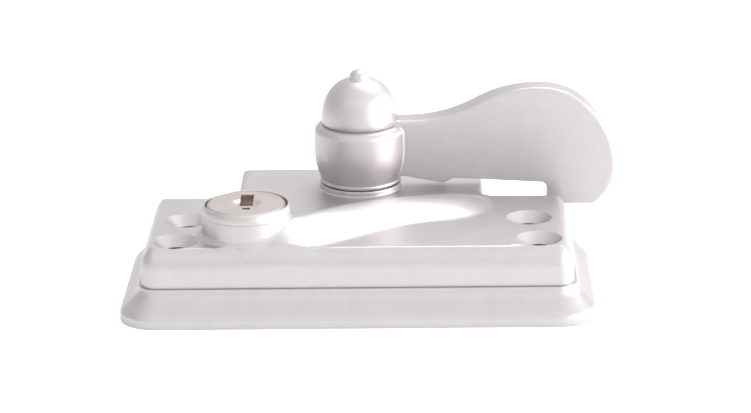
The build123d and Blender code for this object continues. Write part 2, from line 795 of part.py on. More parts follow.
# Acorn cap: a turned domed nut with a nipple, screwed on the spindle
with BuildPart() as acorn_cap:
    with BuildSketch(Plane((hub.X, hub.Y, hub_top), (1, 0, 0), (0, -1, 0))):
        with BuildLine():
            side = acos(nipple_radius / cap_radius)
            dome_middle = (cap_radius * cos(side / 2), cap_lip + cap_rise * sin(side / 2))
            dome_top = (nipple_radius, cap_lip + cap_rise * sin(side))
            top = dome_top[1] + nipple_rise
            lip_foot = (cap_neck - cap_lip / 4, press_gap)
            nipple_flat = nipple_radius / 6
            Polyline(
                (0, cap_thread - cap_spigot_length),
                (thread_radius + running_gap, cap_thread - cap_spigot_length),
                (thread_radius + running_gap, -cap_spigot_length),
                (cap_spigot, -cap_spigot_length),
                (cap_spigot, press_gap),
                lip_foot,
            )
            ThreePointArc(lip_foot, (cap_neck + cap_lip / 7, 0.4 * cap_lip), (cap_radius, cap_lip))
            dome = TangentArc((cap_radius, cap_lip), dome_middle, tangent=(0, 1))
            TangentArc(dome @ 1, dome_top, tangent=dome % 1)
            ThreePointArc(dome_top, (0.8 * nipple_radius, top - 0.35 * nipple_rise), (nipple_flat, top))
            Polyline((nipple_flat, top), (0, top), (0, cap_thread - cap_spigot_length))
        make_face()
    revolve(axis=Axis((hub.X, hub.Y, 0), (0, 0, 1)))
save(acorn_cap.part, "acorn_cap")
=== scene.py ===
from math import cos, pi, radians, sin

import bmesh
import bpy
import numpy as np
from mathutils import Matrix, Vector
from mathutils.geometry import delaunay_2d_cdt


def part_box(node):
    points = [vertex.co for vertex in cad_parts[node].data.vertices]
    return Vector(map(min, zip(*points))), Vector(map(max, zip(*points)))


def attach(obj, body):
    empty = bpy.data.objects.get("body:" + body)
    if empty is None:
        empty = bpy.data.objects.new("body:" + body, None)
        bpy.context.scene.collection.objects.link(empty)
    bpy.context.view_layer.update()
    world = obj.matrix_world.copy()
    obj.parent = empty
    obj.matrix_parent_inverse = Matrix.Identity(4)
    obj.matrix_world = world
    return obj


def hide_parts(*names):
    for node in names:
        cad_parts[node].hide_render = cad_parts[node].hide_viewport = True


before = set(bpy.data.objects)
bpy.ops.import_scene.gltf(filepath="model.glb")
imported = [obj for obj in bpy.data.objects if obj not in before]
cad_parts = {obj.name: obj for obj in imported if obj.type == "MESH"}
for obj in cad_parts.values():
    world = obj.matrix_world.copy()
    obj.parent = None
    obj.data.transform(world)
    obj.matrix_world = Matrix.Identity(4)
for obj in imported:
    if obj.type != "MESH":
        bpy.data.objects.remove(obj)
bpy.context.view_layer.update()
mm = 0.001

# Camera: stands half a metre in front of the lock and a little above it, with a long lens,
# as the photograph was taken. Everything below is in the part's own frame.
photo_width, lens_pixels, sensor_width = 751, 2807.65, 36.0
camera_place = Vector((12.475, -476.277, 171.058)) * mm
camera_yaw, camera_pitch, camera_roll = radians(-1.122), radians(17.956), radians(-0.873)

camera = bpy.data.objects.new("camera", bpy.data.cameras.new("camera"))
camera.data.sensor_width = sensor_width
camera.data.lens = lens_pixels / photo_width * sensor_width
camera.data.clip_start, camera.data.clip_end = 0.01, 20.0
ahead = cos(camera_pitch)
looking = Vector((sin(camera_yaw) * ahead, cos(camera_yaw) * ahead, -sin(camera_pitch)))
level = Vector((cos(camera_yaw), -sin(camera_yaw), 0.0))
upright = level.cross(looking)
right = level * cos(camera_roll) + upright * sin(camera_roll)
up = upright * cos(camera_roll) - level * sin(camera_roll)
camera.matrix_world = Matrix(
    (
        (right.x, up.x, -looking.x, camera_place.x),
        (right.y, up.y, -looking.y, camera_place.y),
        (right.z, up.z, -looking.z, camera_place.z),
        (0, 0, 0, 1),
    )
)
bpy.context.scene.collection.objects.link(camera)
bpy.context.scene.camera = camera

# Studio: a plain white floor in a white room, with four broad soft lamps: behind, on the right,
# above and in front. The satin metal reflects the room's white, a little dimmer on the left.
bpy.context.scene.view_settings.view_transform = "Standard"

room = bpy.data.worlds.new("white_room")
bpy.context.scene.world = room
room.use_nodes = True
nodes, links = room.node_tree.nodes, room.node_tree.links
rays = nodes.new("ShaderNodeLightPath").outputs


def either(nodes, links, first, second):
    """Output that is the larger of two, so it is one where either kind of ray is one."""
    larger = nodes.new("ShaderNodeMath")
    larger.operation = "MAXIMUM"
    links.new(first, larger.inputs[0])
    links.new(second, larger.inputs[1])
    return larger.outputs[0]


seen = either(nodes, links, rays["Is Camera Ray"], rays["Is Glossy Ray"])
seen = either(nodes, links, seen, rays["Is Transmission Ray"])
strength = nodes.new("ShaderNodeMapRange")
strength.inputs["To Min"].default_value = 0.55
strength.inputs["To Max"].default_value = 1.0
links.new(seen, strength.inputs["Value"])
links.new(strength.outputs["Result"], nodes["Background"].inputs["Strength"])
direction = nodes.new("ShaderNodeSeparateXYZ")
links.new(nodes.new("ShaderNodeTexCoord").outputs["Generated"], direction.inputs[0])
dim = nodes.new("ShaderNodeMapRange")
dim.inputs["From Min"].default_value, dim.inputs["From Max"].default_value = -0.9, 0.1
dim.inputs["To Min"].default_value, dim.inputs["To Max"].default_value = 0.84, 1.0
links.new(direction.outputs["X"], dim.inputs["Value"])
tint = nodes.new("ShaderNodeMix")
tint.data_type = "RGBA"
tint.inputs[6].default_value = (1.0, 1.0, 1.0, 1.0)
links.new(rays["Is Glossy Ray"], tint.inputs[0])
links.new(dim.outputs["Result"], tint.inputs[7])
links.new(tint.outputs[2], nodes["Background"].inputs["Color"])


def soft_light(name, place, target, size, power):
    """A rectangular lamp at a place, turned to face a target, all in metres."""
    lamp = bpy.data.lights.new(name, "AREA")
    lamp.shape, lamp.size, lamp.size_y, lamp.energy = "RECTANGLE", size[0], size[1], power
    holder = bpy.data.objects.new(name, lamp)
    holder.location = place
    holder.rotation_euler = (Vector(target) - Vector(place)).to_track_quat("-Z", "Y").to_euler()
    bpy.context.scene.collection.objects.link(holder)


soft_light("light_behind", (0.23, 0.4, 0.73), (0.0, 0.0, 0.0), (0.62, 0.56), 3.6)
soft_light("light_right", (0.82, -0.16, 0.19), (0.0, 0.0, 0.01), (1.1, 0.42), 12.0)
soft_light("light_above", (0.0, -0.35, 0.8), (0.0, 0.0, 0.0), (1.6, 1.2), 1.7)
soft_light("light_front", (-0.1, -0.75, 0.4), (0.0, 0.0, 0.01), (1.7, 1.1), 1.3)

floor_half = 3.0
floor_corners = [
    (x * floor_half, y * floor_half, 0) for x, y in ((-1, -1), (1, -1), (1, 1), (-1, 1))
]
floor_mesh = bpy.data.meshes.new("floor")
floor_mesh.from_pydata(floor_corners, [], [(0, 1, 2, 3)])
floor = bpy.data.objects.new("floor", floor_mesh)
bpy.context.scene.collection.objects.link(floor)
floor_paint = bpy.data.materials.new("floor_white")
floor_paint.use_nodes = True
nodes, links = floor_paint.node_tree.nodes, floor_paint.node_tree.links
paint = nodes["Principled BSDF"]
paint.inputs["Base Color"].default_value = (0.9, 0.9, 0.9, 1.0)
paint.inputs["Roughness"].default_value = 0.9
paint.inputs["Specular IOR Level"].default_value = 0.0
rays = nodes.new("ShaderNodeLightPath").outputs
seen = either(nodes, links, rays["Is Camera Ray"], rays["Is Glossy Ray"])
glow = nodes.new("ShaderNodeEmission")
links.new(seen, glow.inputs["Strength"])
glow.inputs["Color"].default_value = (0.45, 0.45, 0.45, 1.0)
both = nodes.new("ShaderNodeAddShader")
links.new(paint.outputs[0], both.inputs[0])
links.new(glow.outputs[0], both.inputs[1])
links.new(both.outputs[0], nodes["Material Output"].inputs["Surface"])
floor_mesh.materials.append(floor_paint)

# Riser: a die-cast base with a plain rim and an ogee edge on three sides, cut square at the back,
# hollow below. It is blasted, plated and lacquered satin like the case that is screwed on it.
low, high = (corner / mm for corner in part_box("base_plate"))
riser_half, riser_front, riser_back, riser_top = high.x, low.y, high.y, high.z
riser_corner = 6.8
rim_height, moulding_width, moulding_step, past_moulding = 1.8, 3.4, 0.5, 0.6
corner_steps, on_plane, least_radius = 24, 0.01, 0.02


def three_sides(half, front, back, corner, inset, steps=corner_steps):
    """Open line in plan, back left to front left, front right and back right. Points run along
    two straight sides and a straight front, joined by quarter circles. All of it is moved in by
    the inset."""
    turn = np.linspace(0, pi / 2, steps)
    r = max(corner - inset, least_radius)
    x, y = half - inset - r, front + inset + r
    sides = np.linspace(0, 1, 2 * steps)[:, None]
    left_corner = np.column_stack([-x - r * np.cos(turn), y - r * np.sin(turn)])
    right_corner = np.column_stack([x + r * np.sin(turn), y - r * np.cos(turn)])
    left_side = np.array([[-half + inset, back]]) * (1 - sides) + left_corner[:1] * sides
    front_side = left_corner[-1:] * (1 - sides) + right_corner[:1] * sides
    right_side = right_corner[-1:] * (1 - sides) + np.array([[half - inset, back]]) * sides
    return np.vstack(
        [left_side[:-1], left_corner, front_side[1:-1], right_corner, right_side[1:]]
    )


def bowed(start, end, rise, steps):
    """Points from start to end along a shallow curve: a straight line plus the rise times a
    parabola that is 1 at the middle, square to the line."""
    start, end = np.array(start, float), np.array(end, float)
    t = np.linspace(0, 1, steps)[:, None]
    along = end - start
    square = np.array([-along[1], along[0]]) / np.hypot(*along)
    return start + along * t + square * rise * 4 * t * (1 - t)


def rounded(start, end, level_first, steps):
    """Quarter of an ellipse from start to end, which leaves start level or upright."""
    start, end = np.array(start, float), np.array(end, float)
    t = np.linspace(0, pi / 2, steps)[:, None]
    across, rise = end - start
    if level_first:
        return start + np.hstack([across * np.sin(t), rise * (1 - np.cos(t))])
    return start + np.hstack([across * (1 - np.cos(t)), rise * np.sin(t)])


def strips(rings, closed):
    """Quads between rings of equal length, each ring a row of points, as point and face arrays."""
    rings = np.array(rings)
    rows, steps = rings.shape[:2]
    index = np.arange(rows * steps).reshape(rows, steps)
    if closed:
        index = np.hstack([index, index[:, :1]])
    a, b = index[:-1, :-1].ravel(), index[:-1, 1:].ravel()
    c, d = index[1:, 1:].ravel(), index[1:, :-1].ravel()
    return rings.reshape(-1, 3), np.column_stack([a, b, c, d])


def at_height(line, height):
    """A line in plan raised to a height, which is one number or one for each point."""
    return np.column_stack([line, np.full(len(line), height)])


def cad_faces(node, keep):
    """Triangles of a CAD node whose corners all satisfy keep, in millimetres."""
    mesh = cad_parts[node].data
    points = np.zeros(len(mesh.vertices) * 3)
    mesh.vertices.foreach_get("co", points)
    points = points.reshape(-1, 3) / mm
    mesh.calc_loop_triangles()
    faces = np.zeros(len(mesh.loop_triangles) * 3, int)
    mesh.loop_triangles.foreach_get("vertices", faces)
    faces = faces.reshape(-1, 3)
    return points, faces[keep(points)[faces].all(axis=1)]


def cast_piece(name, parts, crease_angle=32.0, merge=0.002, least_edge=0.0005):
    """One mesh object from (points in millimetres, faces) pairs. Close points are merged, faces
    are smooth and edges sharper than the crease angle stay hard."""
    mesh = bpy.data.meshes.new(name)
    points, faces, start = [], [], 0
    for part_points, part_faces in parts:
        points.append(part_points)
        faces += (np.array(part_faces) + start).tolist()
        start += len(part_points)
    mesh.from_pydata((np.vstack(points) * mm).tolist(), [], faces)
    work = bmesh.new()
    work.from_mesh(mesh)
    bmesh.ops.remove_doubles(work, verts=work.verts, dist=merge * mm)
    bmesh.ops.dissolve_degenerate(work, edges=work.edges, dist=least_edge * mm)
    loose = [v for v in work.verts if not v.link_faces]
    bmesh.ops.delete(work, geom=loose, context="VERTS")
    work.to_mesh(mesh)
    work.free()
    mesh.polygons.foreach_set("use_smooth", np.ones(len(mesh.polygons), bool))
    mesh.set_sharp_from_angle(angle=radians(crease_angle))
    piece = bpy.data.objects.new(name, mesh)
    bpy.context.scene.collection.objects.link(piece)
    return piece


def even_curve(x, knots_x, knots_y):
    """Smooth curve through knots: a natural cubic spline, whose second slopes come from one set
    of linear equations."""
    gap = np.diff(knots_x)
    slope = np.diff(knots_y) / gap
    count = len(knots_x)
    matrix, side = np.eye(count), np.zeros(count)
    for i in range(1, count - 1):
        matrix[i, i - 1 : i + 2] = gap[i - 1], 2 * (gap[i - 1] + gap[i]), gap[i]
        side[i] = 6 * (slope[i] - slope[i - 1])
    bend = np.linalg.solve(matrix, side)
    x = np.clip(x, knots_x[0], knots_x[-1])
    i = np.clip(np.searchsorted(knots_x, x) - 1, 0, count - 2)
    a, b = (knots_x[i + 1] - x) / gap[i], (x - knots_x[i]) / gap[i]
    lift = ((a**3 - a) * bend[i] + (b**3 - b) * bend[i + 1]) * gap[i] ** 2 / 6
    return a * knots_y[i] + b * knots_y[i + 1] + lift


# the moulding's section from the bottom up, as how far each point is set in and its height
step_top = riser_top - moulding_step
ogee_knots = np.array(
    [
        (0.22, rim_height),
        (0.36, 2.02),
        (0.68, 2.36),
        (1.12, 2.78),
        (1.65, 3.3),
        (2.2, 3.86),
        (2.7, 4.4),
        (3.1, 5.0),
        (moulding_width, step_top),
    ]
)
knot_count, ogee_steps = len(ogee_knots), 33
ogee_along = np.linspace(0, knot_count - 1, ogee_steps)
ogee = [even_curve(ogee_along, np.arange(knot_count), knots) for knots in ogee_knots.T]
riser_profile = np.vstack(
    [
        [(0.12, 0.0), (0.03, 0.04), (0.0, 0.15)],
        rounded((0.0, rim_height - 0.42), (0.16, rim_height - 0.1), False, 7),
        np.column_stack(ogee),
        [(moulding_width + 0.02, step_top + 0.1), (moulding_width + 0.05, riser_top - 0.12)],
        rounded(
            (moulding_width + 0.07, riser_top - 0.08), (moulding_width + 0.15, riser_top), False, 4
        ),
    ]
)
riser_edge = [
    at_height(three_sides(riser_half, riser_front, riser_back, riser_corner, inset), height)
    for inset, height in riser_profile
]
riser_skin = strips(riser_edge, False)


def depth_inside(x, y, half, front, corner):
    """How far a point lies inside the three-sided outline with rounded front corners."""
    beside, before = np.abs(x) - (half - corner), front + corner - y
    outside = np.hypot(np.maximum(beside, 0), np.maximum(before, 0))
    return corner - outside - np.minimum(np.maximum(beside, before), 0)


def is_riser_core(points):
    """Whether points lie on the riser's bottom or top, or farther in than its moulding."""
    x, y, z = points.T
    depth = depth_inside(x, y, riser_half, riser_front, riser_corner)
    return (z < on_plane) | (z > riser_top - on_plane) | (depth > moulding_width + past_moulding)


# the back is one flat face between the two cut ends of the moulding
riser_points, riser_faces = cad_faces("base_plate", is_riser_core)
at_back = (riser_points[riser_faces][:, :, 1] > riser_back - on_plane).all(axis=1)
riser_rest = (riser_points, riser_faces[~at_back])
right_end = np.array([(riser_half - inset, riser_back, height) for inset, height in riser_profile])
end_line = np.vstack([right_end * (-1, 1, 1), right_end[::-1]])
riser_end = (end_line, [list(range(len(end_line)))])
riser = cast_piece("riser", [riser_skin, riser_rest, riser_end])


def satin_grain():
    """Node group for blasted and plated castings: soft blotches and a fine grain, as a colour
    between two tints, a roughness and a height."""
    group = bpy.data.node_groups.new("satin_grain", "ShaderNodeTree")
    interface = group.interface
    for label, kind, value in (
        ("Pale", "NodeSocketColor", (0.6, 0.6, 0.6, 1)),
        ("Deep", "NodeSocketColor", (0.5, 0.5, 0.5, 1)),
        ("Smoothest", "NodeSocketFloat", 0.25),
        ("Roughest", "NodeSocketFloat", 0.35),
        ("Blotch", "NodeSocketFloat", 350.0),
        ("Grain", "NodeSocketFloat", 3200.0),
    ):
        socket = interface.new_socket(name=label, in_out="INPUT", socket_type=kind)
        socket.default_value = value
    for label, kind in (
        ("Color", "NodeSocketColor"),
        ("Roughness", "NodeSocketFloat"),
        ("Height", "NodeSocketFloat"),
    ):
        interface.new_socket(name=label, in_out="OUTPUT", socket_type=kind)
    nodes, links = group.nodes, group.links
    inputs, outputs = nodes.new("NodeGroupInput"), nodes.new("NodeGroupOutput")
    where = nodes.new("ShaderNodeTexCoord")
    blotch, grain = nodes.new("ShaderNodeTexNoise"), nodes.new("ShaderNodeTexNoise")
    for noise, scale, detail in ((blotch, "Blotch", 4.0), (grain, "Grain", 2.0)):
        links.new(where.outputs["Object"], noise.inputs["Vector"])
        links.new(inputs.outputs[scale], noise.inputs["Scale"])
        noise.inputs["Detail"].default_value = detail
    blend = nodes.new("ShaderNodeMix")
    blend.data_type = "FLOAT"
    blend.inputs[0].default_value = 0.45
    links.new(blotch.outputs["Fac"], blend.inputs[2])
    links.new(grain.outputs["Fac"], blend.inputs[3])
    spread = nodes.new("ShaderNodeMapRange")
    spread.inputs["From Min"].default_value, spread.inputs["From Max"].default_value = 0.34, 0.66
    links.new(blend.outputs[0], spread.inputs["Value"])
    tint = nodes.new("ShaderNodeMix")
    tint.data_type = "RGBA"
    links.new(spread.outputs["Result"], tint.inputs[0])
    links.new(inputs.outputs["Deep"], tint.inputs[6])
    links.new(inputs.outputs["Pale"], tint.inputs[7])
    links.new(tint.outputs[2], outputs.inputs["Color"])
    sheen = nodes.new("ShaderNodeMapRange")
    links.new(spread.outputs["Result"], sheen.inputs["Value"])
    links.new(inputs.outputs["Smoothest"], sheen.inputs["To Min"])
    links.new(inputs.outputs["Roughest"], sheen.inputs["To Max"])
    links.new(sheen.outputs["Result"], outputs.inputs["Roughness"])
    links.new(grain.outputs["Fac"], outputs.inputs["Height"])
    return group


grain_group = satin_grain()


def satin_metal(name, pale, deep, smooth, rough, grain=3200.0, bump=0.006, metallic=1.0):
    """Metal whose tint, sheen and fine relief vary over its surface. Satin lacquer over it gives
    a share of plain scattered light where metallic is below one."""
    metal = bpy.data.materials.new(name)
    metal.use_nodes = True
    nodes, links = metal.node_tree.nodes, metal.node_tree.links
    surface = nodes["Principled BSDF"]
    surface.inputs["Metallic"].default_value = metallic
    texture = nodes.new("ShaderNodeGroup")
    texture.node_tree = grain_group
    texture.inputs["Pale"].default_value = (*pale, 1)
    texture.inputs["Deep"].default_value = (*deep, 1)
    texture.inputs["Smoothest"].default_value = smooth
    texture.inputs["Roughest"].default_value = rough
    texture.inputs["Grain"].default_value = grain
    links.new(texture.outputs["Color"], surface.inputs["Base Color"])
    links.new(texture.outputs["Roughness"], surface.inputs["Roughness"])
    relief = nodes.new("ShaderNodeBump")
    relief.inputs["Distance"].default_value = bump * mm
    links.new(texture.outputs["Height"], relief.inputs["Height"])
    links.new(relief.outputs["Normal"], surface.inputs["Normal"])
    return metal


casting = satin_metal(
    "satin_casting",
    pale=(0.53, 0.502, 0.51),
    deep=(0.497, 0.469, 0.477),
    smooth=0.38,
    rough=0.43,
    metallic=0.8,
)
riser.data.materials.append(casting)
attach(riser, "case")
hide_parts("base_plate")

# Case: one casting with rounded edges. On its top are the key boss, the hump over the locking
# arm, the four countersinks and the seat ring under the post. It is hollow below.
low, high = (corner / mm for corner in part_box("lock_body"))
case_half, case_front, tongue_end, case_low = high.x, low.y, high.y, low.z
case_rise, case_wall = 6.9, 1.9
case_top, case_back, tongue_half = case_low + case_rise, riser_back, 22.65
case_corner, case_roll, roll_start, back_edge = 2.9, 5.0, radians(38), 0.8
wing_corner, tongue_corner, inner_corner = 1.3, 1.3, 2.5
room_top, inside_margin, wall_clear = 11.5, 0.02, 0.03
low, high = (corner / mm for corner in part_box("cylinder_plug"))
key_x, key_y, boss_top = (low.x + high.x) / 2, (low.y + high.y) / 2, high.z
key_place = np.array([key_x, key_y])
boss_radius, boss_edge, boss_foot, boss_ledge = 8.0, 1.5, 1.15, 1.55
bore_radius, sleeve_bore = 7.35, 6.25
low, high = (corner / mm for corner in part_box("spindle"))
post_x, post_y = (low.x + high.x) / 2, (low.y + high.y) / 2
post_place = np.array([post_x, post_y])
seat_radius, seat_height, seat_foot, seat_floor = 7.6, 1.1, 0.25, 0.25
seat_bore, seat_bevel, bush_bore = 6.8, 0.1, 5.2
screw_places = [(-32.0, -7.75), (32.0, -7.75), (-30.65, 4.0), (30.65, 4.0)]
screw_hole, countersink = 2.25, 4.1
boss_steps, seat_steps, sink_steps = 240, 200, 144
line_pitch, coarse_pitch, fine_pitch, case_margin = 0.8, 1.2, 0.34, 0.3
hump_stations = np.array(
    [
        # x, front foot, crest, crest height, back foot
        (-19.65, -11.9, -6.6, 16.5, -1.0),
        (-15.65, -12.2, -6.3, 16.5, -0.4),
        (-11.65, -12.4, -5.4, 16.4, 0.8),
        (-7.65, -10.9, -1.6, 16.2, 4.0),
        (-3.65, -8.4, 2.6, 15.9, 7.6),
        (1.35, -4.5, 6.2, 15.6, 11.0),
        (8.35, 0.3, 9.4, 15.2, 14.4),
        (17.0, 3.2, 11.4, 14.8, 17.4),
        (24.0, 3.8, 12.2, 14.5, 19.0),
    ]
)
nose_start, nose_end = 15.0, 24.2
front_power, back_power, nose_power, boss_end_slope = 1.7, 1.9, 2.6, 4
hump_roll_share, fillet_room, least_fillet = 0.5, 0.25, 0.05
crease_x, crease_widths = (-14.0, -4.0, 10.0), (1.3, 0.8, 0.3)


def corner_loop(corners, inset=0.0, steps=14):
    """Closed outline in plan from (x, y, radius, turn) corners, anticlockwise. A corner that
    turns in (turn -1) grows with the inset and one that turns out shrinks."""
    places = np.array([c[:2] for c in corners], float)
    before, after = places - np.roll(places, 1, 0), np.roll(places, -1, 0) - places
    before /= np.hypot(*before.T)[:, None]
    after /= np.hypot(*after.T)[:, None]
    loop = []
    for place, a, b, (_, _, radius, turn) in zip(places, before, after, corners):
        r = max(radius - turn * inset, least_radius)
        left_a, left_b = np.array([-a[1], a[0]]), np.array([-b[1], b[0]])
        place = place + (left_a + left_b) * inset
        centre = place + turn * r * (left_a + left_b)
        t = np.linspace(0, pi / 2, steps)[:, None]
        loop.append(centre - turn * r * (left_a * np.cos(t) + left_b * np.sin(t)))
    return np.vstack(loop)


case_corners = [
    (-case_half, case_front, case_corner, 1),
    (case_half, case_front, case_corner, 1),
    (case_half, case_back, wing_corner, 1),
    (tongue_half, case_back, inner_corner, -1),
    (tongue_half, tongue_end, tongue_corner, 1),
    (-tongue_half, tongue_end, tongue_corner, 1),
    (-tongue_half, case_back, inner_corner, -1),
    (-case_half, case_back, wing_corner, 1),
]


def divided(loop, longest):
    """The same closed line with points added so that no stretch is longer than longest."""
    after = np.roll(loop, -1, 0)
    counts = np.maximum(1, np.ceil(np.hypot(*(after - loop).T) / longest)).astype(int)
    pieces = [
        a + (b - a) * (np.arange(n) / n)[:, None] for a, b, n in zip(loop, after, counts)
    ]
    return np.vstack(pieces)


def distance_to(points, loop, least_square=1e-12, batch=4000):
    """Distance in plan from each point to the nearest stretch of a closed line, worked out for
    a batch of points at a time."""
    a, b = loop, np.roll(loop, -1, 0)
    along = b - a
    square = np.maximum((along**2).sum(1), least_square)
    nearest = np.empty(len(points))
    for part in np.array_split(np.arange(len(points)), max(1, len(points) // batch)):
        offset = points[part, None] - a
        share = np.clip((offset * along).sum(2) / square, 0, 1)
        nearest[part] = np.sqrt(((offset - along * share[..., None]) ** 2).sum(2).min(1))
    return nearest


def is_inside(points, loop):
    """Whether each point lies in a closed line: an odd number of its stretches are on one side."""
    ax, ay = loop.T
    bx, by = np.roll(loop, -1, 0).T
    x, y = points[:, :1], points[:, 1:]
    spans = (ay > y) != (by > y)
    with np.errstate(divide="ignore", invalid="ignore"):
        cross = ax + (y - ay) * (bx - ax) / (by - ay)
    return (spans & (x < cross)).sum(1) % 2 == 1


def rolled_edge(distance, radius):
    """Drop of a rounded edge: a quarter circle from the full radius at the wall to nothing."""
    left = np.clip(1 - distance / radius, 0, 1)
    return radius * (1 - np.sqrt(1 - left**2))


roll_width = case_roll * (1 - sin(roll_start))


def broken_edge(distance):
    """Drop of the case's front and side edge: part of a circle, upright at the wall and still
    steep where it meets the flat top in a soft line."""
    turn = np.arccos(np.clip(1 - distance / case_roll, sin(roll_start), 1))
    return case_roll * (cos(roll_start) - np.sin(turn)) * (distance < roll_width)


case_line = divided(corner_loop(case_corners), line_pitch)


def hump_height(x, y):
    """Height of the hump: over each x a front ramp and a back slope rise from their feet to the
    crest as one minus a power of the share that is left. The nose closes it the same way on the
    right, and on the left it falls off quickly inside the boss."""
    front, crest, peak, back = (
        even_curve(x, hump_stations[:, 0], hump_stations[:, k]) for k in (1, 2, 3, 4)
    )
    ramp = np.where(y < crest, (crest - y) / (crest - front), (y - crest) / (back - crest))
    nose = np.clip((x - nose_start) / (nose_end - nose_start), 0, 2)
    nose = np.where(x < key_x, boss_end_slope * (key_x - x) / boss_radius, nose)
    power = np.where(y < crest, front_power, back_power)
    fall = np.clip(ramp, 0, 2) ** power + nose**nose_power
    return case_top + (peak - case_top) * (1 - fall)


def soft_higher(a, b, width):
    """The higher of two heights, blended over a width where they cross, so the corner is a
    small fillet."""
    share = np.clip(0.5 + 0.5 * (a - b) / width, 0, 1)
    return b + (a - b) * share + width * share * (1 - share)


def case_height(points):
    """Height of the case's top: flat, rolled over at its edges, with the hump and with a fillet
    round the boss, which gets smaller where the hump runs up the boss."""
    x, y = points.T
    from_wall = depth_inside(x, y, case_half, case_front, case_corner)
    drop = np.maximum(
        broken_edge(from_wall), rolled_edge(distance_to(points, case_line), back_edge)
    )
    flat = case_top - drop
    crease = np.interp(x, crease_x, crease_widths)
    height = soft_higher(hump_height(x, y) - drop * hump_roll_share, flat, crease)
    around = np.hypot(x - key_x, y - key_y) - boss_radius
    room = np.clip((boss_top - boss_edge - fillet_room - height) / boss_foot, least_fillet, 1)
    return height + room * rolled_edge(np.maximum(around, 0), boss_foot)


def ring(centre, radius, steps):
    """Closed circle in plan, its radius one number or one for each step."""
    turn = np.linspace(0, 2 * pi, steps, endpoint=False)
    return np.column_stack([centre[0] + radius * np.cos(turn), centre[1] + radius * np.sin(turn)])


def countersink_loop(place, halvings=22, spare=1.0):
    """Edge of a countersink, where its cone of 90 degrees meets the case's top. In each direction
    the span that holds the edge is halved again and again."""
    narrow, wide = np.full(sink_steps, screw_hole), np.full(sink_steps, countersink + spare)
    for _ in range(halvings):
        halfway = (narrow + wide) / 2
        cone = case_top - countersink + halfway
        below = cone < case_height(ring(place, halfway, sink_steps))
        narrow, wide = np.where(below, halfway, narrow), np.where(below, wide, halfway)
    return ring(place, (narrow + wide) / 2, sink_steps)


def square_net(x_range, y_range, pitch_x, pitch_y):
    """Points of a rectangular grid over two ranges."""
    across, along = np.arange(*x_range, pitch_x), np.arange(*y_range, pitch_y)
    return np.stack(np.meshgrid(across, along), -1).reshape(-1, 2)


def plan_net(outline, holes, lines, points, hole_margin=0.12, merge=1e-6):
    """Triangles over the area inside the outline and outside the holes, with a corner at every
    point that isn't close to a hole, and an edge along every line."""
    corners, edges = [], []
    for loop in [outline, *holes, *lines]:
        start = len(corners)
        corners += [Vector(p) for p in loop.tolist()]
        edges += [(start + i, start + (i + 1) % len(loop)) for i in range(len(loop))]
    for hole in holes:
        near = is_inside(points, hole) | (distance_to(points, hole) < hole_margin)
        points = points[~near]
    corners += [Vector(p) for p in points.tolist()]
    verts, _, faces, *_ = delaunay_2d_cdt(corners, edges, [], 0, merge)
    verts, faces = np.array(verts), np.array(faces)
    middle = verts[faces].mean(1)
    keep = is_inside(middle, outline)
    for hole in holes:
        keep &= ~is_inside(middle, hole)
    return verts, faces[keep]


boss_loop = ring(key_place, boss_radius, boss_steps)
seat_loop = ring(post_place, seat_radius + seat_foot, seat_steps)
sinks = [countersink_loop(place) for place in screw_places]

# the top's net has edges along its outer rounding, the deeper front and side roll and the
# boss's fillet, and it is finer where the hump is
lines = []
for t in np.linspace(0, pi / 2, 12)[2::2]:
    inset = back_edge * (1 - cos(t))
    lines.append(divided(corner_loop(case_corners, inset), line_pitch))
for share in np.linspace(0, 1, 13)[1:]:
    inset = case_roll * (1 - cos((pi / 2 - roll_start) * share))
    line = three_sides(case_half, case_front, case_back, case_corner, inset, 14)
    lines.append(np.vstack([line, line[::-1][1:-1]]))
for t in np.linspace(0, pi / 2, 9)[1:]:
    lines.append(ring(key_place, boss_radius + boss_foot * (1 - cos(t)), boss_steps))
coarse = square_net((-38, 38.1), (-13.2, 35), coarse_pitch, coarse_pitch)
fine = square_net((-32, 27), (-13.3, 20), fine_pitch, fine_pitch)
spots = np.vstack([coarse, fine])
spots = spots[is_inside(spots, case_line) & (distance_to(spots, case_line) > case_margin)]
plan, faces = plan_net(case_line, [boss_loop, seat_loop, *sinks], lines, spots)
top_skin = (at_height(plan, case_height(plan)), faces)


def upright_wall(line, *heights):
    """Wall on a closed line in plan, between heights that are one number or one per point."""
    return strips([at_height(line, height) for height in heights], True)


# walls, boss, seat ring and countersinks, each joined to the top along its own loop
wall = upright_wall(case_line, case_low + wall_clear, case_height(case_line))


def turned_strip(centre, profile, steps, first_loop=None):
    """Lathe surface round an upright axis from a profile of (radius, height) points, starting at
    a loop of the casting's top where one is given."""
    rings = [at_height(ring(centre, radius, steps), height) for radius, height in profile]
    if first_loop is not None:
        rings.insert(0, at_height(first_loop, case_height(first_loop)))
    return strips(rings, True)


rim_low = boss_top - boss_edge
boss_profile = np.vstack(
    [
        [(boss_radius - 0.01, rim_low - 0.6), (boss_radius - 0.05, rim_low - 0.3)],
        rounded((boss_radius + 0.1, rim_low - 0.15), (bore_radius + 0.2, boss_top), False, 12),
        [(bore_radius + 0.06, boss_top - 0.04), (bore_radius, boss_top - 0.15)],
        [(bore_radius, boss_top - boss_ledge), (sleeve_bore, boss_top - boss_ledge)],
        [(sleeve_bore, room_top)],
    ]
)
boss = turned_strip(key_place, boss_profile, boss_steps, boss_loop)
seat_top = case_top + seat_height
seat_profile = np.vstack(
    [
        rounded(
            (seat_radius + 0.22, case_top + 0.01), (seat_radius, case_top + seat_foot), True, 5
        ),
        rounded((seat_radius - 0.02, case_top + 0.85), (seat_radius - 0.2, seat_top), False, 6),
        [(seat_bore + 0.15, seat_top), (seat_bore, seat_top - seat_bevel)],
        [(seat_bore, case_top + seat_floor), (bush_bore, case_top + seat_floor)],
        [(bush_bore, room_top)],
    ]
)
